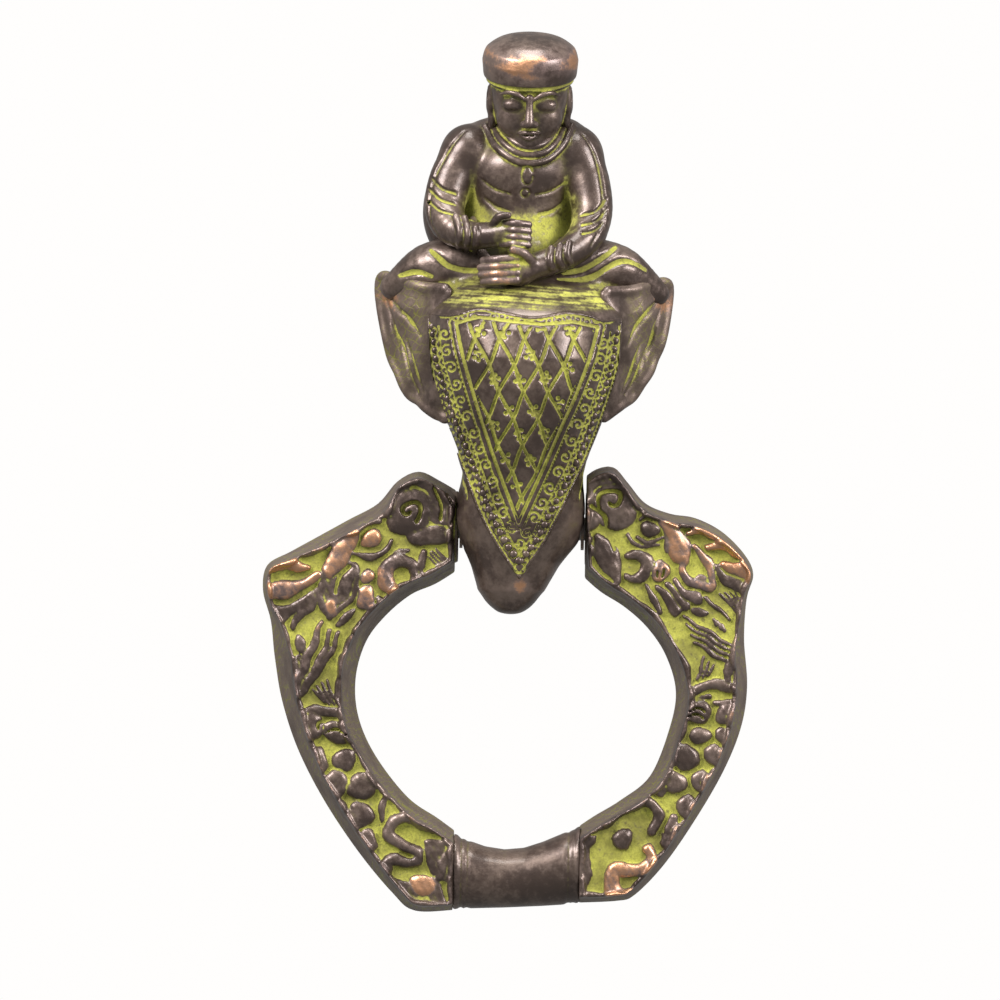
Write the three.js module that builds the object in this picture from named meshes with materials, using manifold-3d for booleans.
// Cast-brass door knocker: an elephant's head that bolts to a door, a rider seated on its crown,
// and a swinging ring of two beast-headed arms joined by a plain bar, hung on a pin through the trunk.
// Millimetres, +Z up. The front faces -Y. The origin is on the door's face, midway between the studs.
import * as THREE from "three";
import { mergeVertices } from "three/addons/utils/BufferGeometryUtils.js";
import Module from "manifold-3d";

const wasm = await Module();
wasm.setup();

// ---- driving dimensions ----
const GAP = 0.3; // clearance kept between neighbouring solids
const WALL = 5.5; // wall of the hollow head

const PIN = { y: -25, z: -46, radius: 3, left: -29, right: 28 };
const CORE_HALF = 15; // half width of the trunk between the ring's two hubs
const HUB_RADIUS = 9.2;
const PIN_WASHER = { radius: 5.5, thick: 0.8 };

const STUD = { radius: 3, spacing: 28, front: -8, back: 60 };
const BAR = { half: 6, thick: 8, top: 20, bottom: -27.5 };
const DOOR = 44; // thickness of the door that the studs pass through
const WASHER = { radius: 9, thick: 1.6 };
const NUT = { flats: 10, thick: 5 };

const RIDER_SCREW = { x: -2, y: -27, radius: 2, headRadius: 4, headBottom: 7.6, headTop: 11, top: 36 };

const GRIP_SPLIT = { left: -16.5, right: 16.7 }; // where the bar is let into the two arms
const TENON = { radius: 4.2, length: 8, z: -135 };
const STRIKER = { x: 0, z: -136.5, radius: 5.5, shank: 2.2, root: -28, seat: -18.4, face: -15.2 };

// ---- materials ----
function metal(color, roughness, metalness) {
  return new THREE.MeshStandardMaterial({ color, roughness, metalness });
}

const AGED_BRASS = metal(0x3a2d24, 0.42, 0.85);
const PATINA_BRASS = metal(0x7c7a2e, 0.6, 0.5);
const COPPER_BRASS = metal(0xb07a4a, 0.4, 0.9);
const STEEL = metal(0x9a9a96, 0.35, 1);

// ---- solids ----
function solidOf(geometry) {
  const bare = new THREE.BufferGeometry().setAttribute("position", geometry.getAttribute("position"));
  if (geometry.index) bare.setIndex(geometry.index);
  const merged = mergeVertices(bare, 1e-4);
  const solid = new wasm.Manifold(
    new wasm.Mesh({
      numProp: 3,
      vertProperties: new Float32Array(merged.attributes.position.array),
      triVerts: new Uint32Array(merged.index.array),
    }),
  );
  return solid;
}

function meshOf(name, solid, material) {
  const made = solid.getMesh();
  const places = new Float32Array(made.numVert * 3);
  for (let i = 0; i < made.numVert; i++) {
    places.set(made.vertProperties.subarray(i * made.numProp, i * made.numProp + 3), i * 3);
  }
  const geometry = new THREE.BufferGeometry()
    .setAttribute("position", new THREE.BufferAttribute(places, 3))
    .setIndex(new THREE.BufferAttribute(made.triVerts, 1));
  geometry.computeVertexNormals();
  const mesh = new THREE.Mesh(geometry, material);
  mesh.name = name;
  return mesh;
}

// The largest of the bodies that a cut leaves.
function largest(solid) {
  return solid.decompose().sort((a, b) => b.volume() - a.volume())[0];
}

function joined(solids) {
  return solids.reduce((all, next) => all.add(next));
}

// A closed skin over rings of points, with a fan over each end.
function loft(rings) {
  const sides = rings[0].length;
  const places = rings.flat().flatMap((p) => [p.x, p.y, p.z]);
  const faces = [];
  for (let i = 0; i + 1 < rings.length; i++) {
    for (let j = 0; j < sides; j++) {
      const a = i * sides + j;
      const b = i * sides + ((j + 1) % sides);
      faces.push(a, b, b + sides, a, b + sides, a + sides);
    }
  }
  for (const [ring, flip] of [[0, true], [rings.length - 1, false]]) {
    const middle = new THREE.Vector3();
    rings[ring].forEach((p) => middle.add(p));
    middle.divideScalar(sides);
    const centre = places.length / 3;
    places.push(middle.x, middle.y, middle.z);
    for (let j = 0; j < sides; j++) {
      const a = ring * sides + j;
      const b = ring * sides + ((j + 1) % sides);
      faces.push(centre, flip ? b : a, flip ? a : b);
    }
  }
  const build = (order) =>
    solidOf(
      new THREE.BufferGeometry()
        .setAttribute("position", new THREE.BufferAttribute(new Float32Array(places), 3))
        .setIndex(order),
    );
  const solid = build(faces);
  if (solid.volume() > 0) return solid;
  return build(faces.map((_, i) => faces[i - (i % 3) + [0, 2, 1][i % 3]]));
}

// A level ring: a superellipse with its own depth in front of and behind its middle.
function levelRing({ z, x = 0, half, front, back, middle, power = 2.4 }, sides, grow = 0) {
  const y0 = middle ?? (front + back) / 2;
  const ring = [];
  for (let j = 0; j < sides; j++) {
    const angle = (2 * Math.PI * j) / sides;
    const c = Math.cos(angle);
    const s = Math.sin(angle);
    const along = Math.sign(c) * Math.abs(c) ** (2 / power);
    const deep = Math.sign(s) * Math.abs(s) ** (2 / power);
    const depth = (s < 0 ? y0 - front : back - y0) + grow;
    ring.push(new THREE.Vector3(x + (half + grow) * along, y0 + depth * deep, z));
  }
  return ring;
}

function cylinderAlong(axis, radius, from, to, centre, sides = 24) {
  const geometry = new THREE.CylinderGeometry(radius, radius, to - from, sides);
  if (axis === "x") geometry.rotateZ(Math.PI / 2);
  if (axis === "z") geometry.rotateX(Math.PI / 2);
  const place = new THREE.Vector3(...centre);
  place[axis] = (from + to) / 2;
  geometry.translate(place.x, place.y, place.z);
  return solidOf(geometry);
}

function box(low, high) {
  const size = high.map((v, i) => v - low[i]);
  const geometry = new THREE.BoxGeometry(...size);
  geometry.translate(...low.map((v, i) => v + size[i] / 2));
  return solidOf(geometry);
}

function ellipsoid(centre, radii, around = 16, up = 10) {
  const geometry = new THREE.SphereGeometry(1, around, up);
  geometry.rotateX(Math.PI / 2);
  geometry.scale(...radii);
  geometry.translate(...centre);
  return solidOf(geometry);
}

// A limb: round sections of changing radius along a smooth curve.
function limb(points, radii, steps = 8, sides = 12) {
  const curve = new THREE.CatmullRomCurve3(points.map((p) => new THREE.Vector3(...p)));
  const { normals, binormals } = curve.computeFrenetFrames(steps, false);
  const rings = [];
  for (let i = 0; i <= steps; i++) {
    const t = i / steps;
    const place = curve.getPoint(t);
    const slot = Math.min(Math.floor(t * (radii.length - 1)), radii.length - 2);
    const radius = THREE.MathUtils.lerp(radii[slot], radii[slot + 1], t * (radii.length - 1) - slot);
    const ring = [];
    for (let j = 0; j < sides; j++) {
      const angle = (2 * Math.PI * j) / sides;
      ring.push(
        place.clone()
          .addScaledVector(normals[i], radius * Math.cos(angle))
          .addScaledVector(binormals[i], radius * Math.sin(angle)),
      );
    }
    rings.push(ring);
  }
  return loft(rings);
}

// ---- elephant's head ----
// Level sections from the trunk's tip to the crown.
const HEAD_LEVELS = [
  { z: -68.2, x: -3, half: 3.4, front: -37, back: -31 },
  { z: -66, x: -2.9, half: 6.2, front: -39.5, back: -28 },
  { z: -62, x: -2.5, half: 8.4, front: -41.5, back: -24.5 },
  { z: -56, x: -1.7, half: 11, front: -43.5, back: -19.5 },
  { z: -50, x: -1, half: 14.4, front: -45.5, back: -14.5 },
  { z: -44, x: -0.7, half: 16.1, front: -47, back: -10.5 },
  { z: -38, x: -0.4, half: 16, front: -48.5, back: -6.5 },
  { z: -32, half: 15.6, front: -51, back: -2.5 },
  { z: -26, half: 16.9, front: -54, back: 3, middle: -22 },
  { z: -18, half: 20, front: -57.5, back: 5, middle: -22 },
  { z: -10, half: 23, front: -61.2, back: 6, middle: -22 },
  { z: -2, half: 25.2, front: -62.4, back: 6, middle: -22 },
  { z: 5, half: 26, front: -60.4, back: 6, middle: -22 },
  { z: 10, half: 26, front: -55, back: 6, middle: -22 },
  { z: 16, half: 25, front: -45.5, back: 5, middle: -20 },
  { z: 22, half: 22.5, front: -36, back: 4, middle: -16 },
  { z: 27, half: 19, front: -27, back: 2, middle: -12 },
  { z: 29.5, half: 13, front: -18, back: -2, middle: -10 },
];

// The hollow behind the forehead, open at the back.
const HOLLOW_LEVELS = [
  { z: -23.5, half: 9, front: -42, back: 8, middle: -16 },
  { z: -18, half: 20 - WALL, front: -51, back: 8, middle: -16 },
  { z: -10, half: 23 - WALL, front: -54.3, back: 8, middle: -16 },
  { z: -2, half: 25.2 - WALL, front: -55, back: 8, middle: -16 },
  { z: 5, half: 26 - WALL, front: -50, back: 8, middle: -16 },
  { z: 9, half: 19, front: -41, back: 8, middle: -16 },
  { z: 11.5, half: 15, front: -33, back: 8, middle: -16 },
];

// The rider's folded legs, which are cast in one with the crown and end at the ears' top corners.
const LEGS = [
  { points: [[-8, -24, 20], [-22, -27, 21], [-33.5, -27, 15.5]], radii: [9, 7.5, 4.6] },
  { points: [[6, -24, 20], [20, -27, 21], [32.5, -27, 15]], radii: [9, 7.5, 4.6] },
];

function headForm(grow = 0) {
  const body = loft(HEAD_LEVELS.map((level) => levelRing(level, 32, grow)));
  const legs = LEGS.map(({ points, radii }) => limb(points, radii.map((r) => r + grow)));
  return joined([body, ...legs]);
}

function elephantHead() {
  const behindDoor = box([-60, 0, -80], [60, 30, 60]);
  const hollow = loft(HOLLOW_LEVELS.map((level) => levelRing(level, 28)));
  const barSeat = box(
    [-BAR.half - GAP, -BAR.thick - GAP, BAR.bottom - GAP],
    [BAR.half + GAP, 5, BAR.top + GAP],
  );
  const screw = RIDER_SCREW;
  let head = headForm().subtract(behindDoor).subtract(hollow).subtract(barSeat);
  head = head.subtract(
    cylinderAlong("z", screw.radius + GAP, screw.headTop - 4, 40, [screw.x, screw.y, 0], 16),
  );
  head = head.subtract(cylinderAlong("x", PIN.radius + GAP, -40, 40, [0, PIN.y, PIN.z]));
  for (const [from, to] of [[-40, -CORE_HALF], [CORE_HALF, 40]]) {
    head = head.subtract(cylinderAlong("x", HUB_RADIUS + 2 * GAP, from, to, [0, PIN.y, PIN.z], 28));
  }
  return largest(head);
}

// ---- ears ----
// Each ear is a thin curved flap: its edge at every level, seen from the front.
const EAR_EDGES = {
  left: [[-17, -22.5], [-15, -26.5], [-12, -29.8], [-7, -32.4], [-1, -34.6], [5, -36.6], [11, -38], [15, -38.2]],
  right: [[-17, 20.5], [-14, 25], [-10.5, 29], [-6, 32], [-1, 35], [4, 36.8], [9, 37.4], [14, 37.6]],
};
const EAR_THICK = 3.6;

function earForm(side) {
  const out = side === "left" ? -1 : 1;
  const rings = EAR_EDGES[side].map(([z, edge], level, all) => {
    const reach = level / (all.length - 1);
    const outer = new THREE.Vector3(edge, -24 + 15 * Math.sqrt(reach), z);
    const inner = new THREE.Vector3(out * (17 + 4 * reach), -40 - 3 * reach, z);
    const bulge = new THREE.Vector3(out, -0.7, 0).normalize().multiplyScalar(1.5 + 2.5 * reach);
    const normal = new THREE.Vector3(out, -0.45, 0).normalize().multiplyScalar(EAR_THICK);
    const outside = [];
    const inside = [];
    for (let i = 0; i <= 6; i++) {
      const t = i / 6;
      const p = inner.clone().lerp(outer, t).addScaledVector(bulge, 4 * t * (1 - t));
      outside.push(p);
      inside.push(p.clone().addScaledVector(normal, -(1 - 0.45 * t)));
    }
    return [...outside, ...inside.reverse()];
  });
  return loft(rings);
}

function ear(side) {
  const behindDoor = box([-60, -2, -80], [60, 30, 60]);
  return largest(earForm(side).subtract(headForm(GAP)).subtract(behindDoor));
}

// ---- rider ----
const TORSO_LEVELS = [
  { z: 15, x: -3, half: 13, front: -38, back: -14 },
  { z: 24, x: -3, half: 14, front: -37, back: -14 },
  { z: 33, x: -2.6, half: 14.5, front: -38, back: -14 },
  { z: 42, x: -2.4, half: 16.2, front: -39, back: -14 },
  { z: 50, x: -2.2, half: 16.4, front: -38, back: -15 },
  { z: 55.5, x: -1.6, half: 13.5, front: -36, back: -16.5 },
  { z: 59, x: -1, half: 9, front: -34, back: -18 },
  { z: 61, x: -0.6, half: 6.5, front: -32.5, back: -20 },
];
// The shawl that stands behind both arms.
const SHAWL_LEVELS = [
  { z: 22, x: -3, half: 19.5, front: -29, back: -12 },
  { z: 29, x: -3, half: 23.6, front: -29, back: -11.5 },
  { z: 35, x: -3, half: 24.4, front: -29, back: -11.5 },
  { z: 42, x: -2.9, half: 23.3, front: -28.5, back: -11.5 },
  { z: 48, x: -2.8, half: 21.5, front: -28, back: -12 },
  { z: 54, x: -2.2, half: 19, front: -27, back: -13 },
  { z: 58.5, x: -1.6, half: 14.6, front: -26, back: -15 },
  { z: 61, x: -1, half: 9.5, front: -25, back: -18 },
];
const ARMS = [
  {
    points: [[-17.5, -29, 51.5], [-21.5, -32, 42], [-21.8, -35, 32.5], [-15, -42, 27], [-9, -45, 28]],
    radii: [5.8, 5.6, 5, 3.9, 3.4],
  },
  {
    points: [[13, -29, 51.5], [16.3, -32, 42], [15.8, -35, 31.5], [8, -42, 23.6], [0, -45.5, 20]],
    radii: [5.8, 5.6, 5, 3.9, 3.6],
  },
];
const SHOULDERS = [[-16.6, -28.5, 51.6], [12.4, -28.5, 51.6]];
const HANDS = [
  { centre: [-6, -46, 28.2], radii: [5.8, 4.2, 5.4] },
  { centre: [-6, -47, 20.2], radii: [7.6, 4.8, 4.6] },
];
const NECK = { x: 0, y: -28.5, radius: 5.2, bottom: 48 };

function riderBody() {
  const torso = loft(TORSO_LEVELS.map((level) => levelRing(level, 24)));
  const shawl = loft(SHAWL_LEVELS.map((level) => levelRing({ ...level, power: 2.6 }, 24)));
  const arms = ARMS.map(({ points, radii }) => limb(points, radii, 14, 12));
  const hands = HANDS.map(({ centre, radii }) => ellipsoid(centre, radii, 16, 10));
  const shoulders = SHOULDERS.map((centre) => ellipsoid(centre, [6.2, 6.2, 6.4], 16, 10));
  const screw = RIDER_SCREW;
  const body = joined([torso, shawl, ...arms, ...shoulders, ...hands])
    .subtract(headForm(GAP))
    .subtract(riderHead(GAP))
    .subtract(cylinderAlong("z", screw.radius + GAP, 0, screw.top + GAP, [screw.x, screw.y, 0], 16));
  return largest(body);
}

// The bowed head with its round cap, on a spigot that enters the body under the necklace.
const SKULL_LEVELS = [
  { z: 52.6, half: 3.6, front: -42.5, back: -33 },
  { z: 54.5, half: 6.2, front: -44.2, back: -28 },
  { z: 58, half: 8.6, front: -45.2, back: -23 },
  { z: 62, half: 10, front: -45.6, back: -20.5 },
  { z: 66, half: 10.6, front: -45.2, back: -19.5 },
  { z: 69, half: 11.2, front: -45, back: -19.5 },
];
const CAP_PROFILE = [[0, 67], [11, 67], [11.9, 69], [12.4, 74], [12, 78], [10.2, 81.3], [6.5, 82.8], [0, 83.2]];
const CAP_CENTRE = { x: 0.1, y: -32.6 };

function riderHead(grow = 0) {
  const skull = loft(SKULL_LEVELS.map((level) => levelRing(level, 24, grow)));
  const profile = CAP_PROFILE.map(([radius, z]) => new THREE.Vector2(radius, z));
  const cap = new THREE.LatheGeometry(profile, 28);
  cap.rotateX(Math.PI / 2);
  cap.translate(CAP_CENTRE.x, CAP_CENTRE.y, 0);
  const spigot = cylinderAlong("z", NECK.radius + grow, NECK.bottom - grow, 66, [NECK.x, NECK.y, 0], 20);
  return joined([skull, solidOf(cap), spigot]);
}

function riderScrew() {
  const { x, y, radius, headRadius, headBottom, headTop, top } = RIDER_SCREW;
  const head = cylinderAlong("z", headRadius, headBottom, headTop, [x, y, 0], 20);
  return head.add(cylinderAlong("z", radius, headTop - 1, top, [x, y, 0], 16));
}

// ---- ring ----
// Each arm lies between two edges, seen from the front as x and z from the hub round to the bar.
// rake is how far the carved front stands in from each edge, in even steps along the arm.
const BEAST_ARMS = {
  left: {
    outer: [
      [-17.3, -37], [-21.5, -34.3], [-27, -32], [-32.5, -34.6], [-37.5, -40.5], [-45, -44.8], [-53, -49.4],
      [-60, -53.4], [-66, -57], [-67.2, -63.6], [-64.8, -71.5], [-63.6, -81], [-61.4, -92.5], [-57, -105],
      [-50, -118], [-41, -131], [-32, -141.5], [-26, -146.3], [-16.5, -145.6],
    ],
    inner: [
      [-17.3, -57.5], [-22, -61], [-28.5, -64], [-35, -69.6], [-40, -76.5], [-42.5, -86], [-41.6, -96],
      [-37, -106], [-28.5, -115.8], [-20.5, -121], [-16.5, -125],
    ],
    rake: { outer: [1.4, 1.7, 2.6, 2.6, 5.4, 4.4, 4, 3.6, 2.8], inner: [3, 3, 4.6, 3.4, 2.8, 2.8, 2, 1.8] },
  },
  right: {
    outer: [
      [16.6, -33], [19, -30.6], [23.6, -30], [27.4, -34], [32, -39.2], [38.5, -41.8], [45, -42.8],
      [52, -46], [58.6, -51.6], [61.2, -57.2], [59.2, -63.5], [58.3, -74], [59.3, -86], [58, -96.5],
      [53.7, -108], [46.5, -121], [38.5, -133], [31, -141], [26.5, -142.6], [16.7, -143.3],
    ],
    inner: [
      [16.6, -58.2], [20.5, -62.2], [27, -66.2], [33, -71.4], [38, -78.6], [40.8, -88], [39.2, -98],
      [34.5, -109.2], [27, -115.4], [20, -119.4], [16.7, -122.8],
    ],
    rake: { outer: [1.3, 1.7, 1.6, 2, 3.2, 3.2, 2.8, 2.6, 2.2], inner: [3, 3, 3.4, 3.2, 2.6, 2.4, 1.8, 1.6] },
  },
};
const ARM_STATIONS = 36;
const ARM_DEPTH = [9.2, 10.4, 10.4, 10.2, 9.4, 8.8, 8.4, 8.2, 8.2]; // half depth, in even steps

function evenValue(values, t) {
  const place = t * (values.length - 1);
  const slot = Math.min(Math.floor(place), values.length - 2);
  return THREE.MathUtils.lerp(values[slot], values[slot + 1], place - slot);
}

// One section of an arm: a flat back, two raked sides and a gently crowned carved front.
function armRing(outer, inner, rakeOuter, rakeInner, deep) {
  const across = inner.clone().sub(outer);
  const width = across.length();
  across.normalize();
  const at = (inset, y) => {
    const place = outer.clone().addScaledVector(across, inset);
    return new THREE.Vector3(place.x, y, place.y);
  };
  const back = PIN.y + deep;
  const front = PIN.y - deep;
  const soft = 1.4; // how far the corners are eased
  const face = width - rakeOuter - rakeInner;
  return [
    at(0.08 * width, back),
    at(0, back - 2.2),
    at(rakeOuter / 2, PIN.y + 0.5),
    at(rakeOuter, front + soft),
    at(rakeOuter + 0.1 * face, front + 0.3),
    at(rakeOuter + 0.35 * face, front - 0.4),
    at(rakeOuter + 0.65 * face, front - 0.4),
    at(rakeOuter + 0.9 * face, front + 0.3),
    at(width - rakeInner, front + soft),
    at(width - rakeInner / 2, PIN.y + 0.5),
    at(width, back - 2.2),
    at(0.92 * width, back),
  ];
}

function beastArm(side) {
  const { outer, inner, rake } = BEAST_ARMS[side];
  const edge = (points) => new THREE.SplineCurve(points.map(([x, z]) => new THREE.Vector2(x, z)));
  const outerEdge = edge(outer).getSpacedPoints(ARM_STATIONS);
  const innerEdge = edge(inner).getSpacedPoints(ARM_STATIONS);
  const rings = outerEdge.map((place, i) => {
    const t = i / ARM_STATIONS;
    const [rakeOuter, rakeInner] = [evenValue(rake.outer, t), evenValue(rake.inner, t)];
    return armRing(place, innerEdge[i], rakeOuter, rakeInner, evenValue(ARM_DEPTH, t));
  });
  const out = side === "left" ? -1 : 1;
  const span = (a, b) => [Math.min(a, b), Math.max(a, b)];
  const hub = span(out * (CORE_HALF + PIN_WASHER.thick + 2 * GAP), out * 24);
  const pinEnd = side === "left" ? PIN.left - GAP : PIN.right + GAP;
  const split = GRIP_SPLIT[side];
  const socket = span(split - out, split + out * (TENON.length + GAP));
  return largest(
    loft(rings)
      .add(cylinderAlong("x", HUB_RADIUS, ...hub, [0, PIN.y, PIN.z], 28))
      .subtract(cylinderAlong("x", PIN.radius + GAP, ...span(0, pinEnd), [0, PIN.y, PIN.z]))
      .subtract(cylinderAlong("x", TENON.radius + GAP, ...socket, [0, PIN.y, TENON.z])),
  );
}

// A thin brass disc on the pin, between the trunk and one arm.
function pinWasher(out) {
  const near = CORE_HALF + GAP;
  const [from, to] = [out * near, out * (near + PIN_WASHER.thick)].sort((a, b) => a - b);
  return cylinderAlong("x", PIN_WASHER.radius, from, to, [0, PIN.y, PIN.z], 28).subtract(
    cylinderAlong("x", PIN.radius + GAP, -30, 30, [0, PIN.y, PIN.z]),
  );
}

// The plain bar: flat along the bottom and hollowed along the top, where the hand takes it.
const GRIP_SECTIONS = [
  { x: GRIP_SPLIT.left + GAP, top: -125.4, bottom: -145.2, deep: 8.1 },
  { x: -12.5, top: -127.2, bottom: -144.9, deep: 7.9 },
  { x: -8, top: -128.7, bottom: -144.7, deep: 7.8 },
  { x: -3, top: -129.4, bottom: -144.5, deep: 7.7 },
  { x: 2, top: -128.9, bottom: -144.2, deep: 7.7 },
  { x: 7, top: -127.2, bottom: -143.9, deep: 7.8 },
  { x: 12, top: -125, bottom: -143.5, deep: 7.9 },
  { x: GRIP_SPLIT.right - GAP, top: -123, bottom: -143, deep: 8.1 },
];

function gripBar() {
  const sides = 24;
  const rings = GRIP_SECTIONS.map(({ x, top, bottom, deep }) => {
    const middle = (top + bottom) / 2;
    const half = (top - bottom) / 2;
    const ring = [];
    for (let j = 0; j < sides; j++) {
      const angle = (2 * Math.PI * j) / sides;
      ring.push(new THREE.Vector3(x, PIN.y + deep * Math.cos(angle), middle + half * Math.sin(angle)));
    }
    return ring;
  });
  const { radius, length, z } = TENON;
  const [from, to] = [GRIP_SPLIT.left - length, GRIP_SPLIT.right + length];
  const shank = cylinderAlong(
    "y", STRIKER.shank + GAP, STRIKER.root - GAP, 0, [STRIKER.x, 0, STRIKER.z], 16);
  const seat = cylinderAlong(
    "y", STRIKER.radius + GAP, STRIKER.seat - GAP, 0, [STRIKER.x, 0, STRIKER.z], 28);
  return loft(rings)
    .add(cylinderAlong("x", radius, from, to, [0, PIN.y, z], 20))
    .subtract(shank)
    .subtract(seat);
}

// The flat button that meets the door, with its shank let into the bar.
function strikerButton() {
  const { x, z, radius, shank, root, seat, face } = STRIKER;
  return cylinderAlong("y", radius, seat, face, [x, 0, z], 28).add(
    cylinderAlong("y", shank, root, seat + 0.5, [x, 0, z], 16),
  );
}

function hingePin() {
  return cylinderAlong("x", PIN.radius, PIN.left, PIN.right, [0, PIN.y, PIN.z]);
}

// ---- fixings ----
function mountBar() {
  let bar = box([-BAR.half, -BAR.thick, BAR.bottom], [BAR.half, 0, BAR.top]);
  for (const z of [STUD.spacing / 2, -STUD.spacing / 2]) {
    bar = bar.subtract(cylinderAlong("y", STUD.radius + GAP, -30, 30, [0, 0, z]));
  }
  return bar;
}

function stud(z) {
  return cylinderAlong("y", STUD.radius, STUD.front, STUD.back, [0, 0, z]);
}

function washer(z) {
  const front = DOOR;
  return cylinderAlong("y", WASHER.radius, front, front + WASHER.thick, [0, 0, z], 28).subtract(
    cylinderAlong("y", STUD.radius + GAP, 0, 80, [0, 0, z]),
  );
}

function nut(z) {
  const front = DOOR + WASHER.thick + GAP;
  const across = NUT.flats / 2 / Math.cos(Math.PI / 6);
  return cylinderAlong("y", across, front, front + NUT.thick, [0, 0, z], 6).subtract(
    cylinderAlong("y", STUD.radius + GAP, 0, 80, [0, 0, z]),
  );
}

// ---- assembly ----
const knocker = new THREE.Group();

const fixed = new THREE.Group();
fixed.add(
  meshOf("elephant_head", elephantHead(), AGED_BRASS),
  meshOf("left_ear", ear("left"), AGED_BRASS),
  meshOf("right_ear", ear("right"), AGED_BRASS),
  meshOf("rider_body", riderBody(), AGED_BRASS),
  meshOf("rider_head", riderHead(), COPPER_BRASS),
  meshOf("rider_screw", riderScrew(), STEEL),
  meshOf("mount_bar", mountBar(), STEEL),
);
for (const [place, z] of [["upper", STUD.spacing / 2], ["lower", -STUD.spacing / 2]]) {
  fixed.add(
    meshOf(`${place}_stud`, stud(z), STEEL),
    meshOf(`${place}_washer`, washer(z), STEEL),
    meshOf(`${place}_nut`, nut(z), STEEL),
  );
}

const ring = new THREE.Group();
ring.add(
  meshOf("left_beast_arm", beastArm("left"), PATINA_BRASS),
  meshOf("right_beast_arm", beastArm("right"), PATINA_BRASS),
  meshOf("left_pin_washer", pinWasher(-1), COPPER_BRASS),
  meshOf("right_pin_washer", pinWasher(1), COPPER_BRASS),
  meshOf("grip_bar", gripBar(), AGED_BRASS),
  meshOf("striker_button", strikerButton(), COPPER_BRASS),
  meshOf("hinge_pin", hingePin(), STEEL),
);

knocker.add(fixed, ring);

export default knocker;
